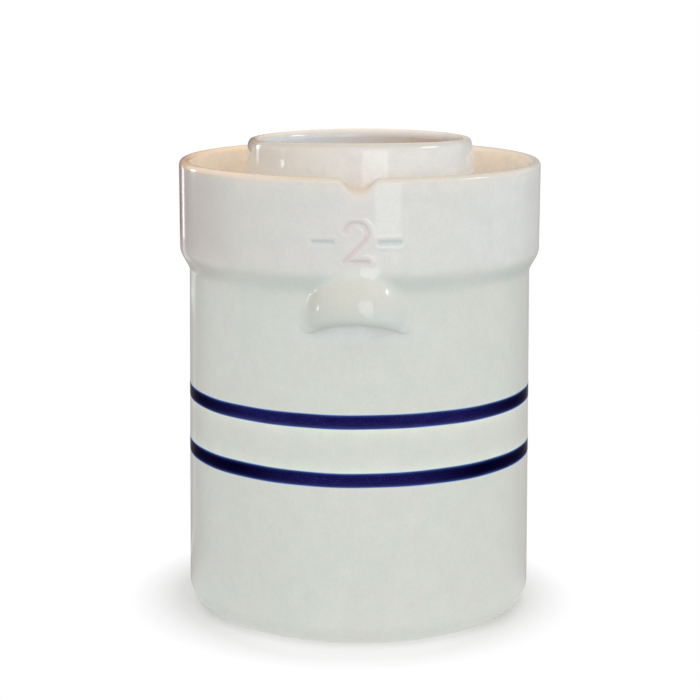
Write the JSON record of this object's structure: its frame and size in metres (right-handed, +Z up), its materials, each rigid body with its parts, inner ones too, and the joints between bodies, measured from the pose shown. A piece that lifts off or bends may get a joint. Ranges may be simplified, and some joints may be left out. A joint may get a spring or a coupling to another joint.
{
  "type": "fermentation crock",
  "caption": "Stoneware fermentation crock with a water gutter, an overflow notch, an inner neck, lugs, painted bands and half-moon weights that lift out.",
  "frame": {"origin": "centre of the foot, on the plane that the crock stands on", "axes": "+Z up along the crock's axis, -Y towards the front with the overflow notch, +X to the viewer's right"},
  "size_m": [0.239, 0.2544, 0.318],
  "materials": {
    "glaze": "gloss",
    "warm_glaze": "gloss",
    "slip": "gloss",
    "weight_glaze": "satin"
  },
  "bodies": {
    "crock": {"base_slab": "glaze", "pot_wall": "glaze", "gutter_floor": "warm_glaze", "gutter_collar": "glaze", "neck_ring": "warm_glaze", "front_lug": "glaze", "rear_lug": "glaze", "upper_band": "slip", "lower_band": "slip"},
    "left_weight": {"left_weight": "weight_glaze"},
    "right_weight": {"right_weight": "weight_glaze"}
  },
  "joints": [
    {"name": "left_weight_lift", "type": "slide", "parent": "crock", "child": "left_weight", "axis": [0, 0, 1], "range_m": [0, 0.32]},
    {"name": "right_weight_lift", "type": "slide", "parent": "crock", "child": "right_weight", "axis": [0, 0, 1], "range_m": [0, 0.32]}
  ]
}
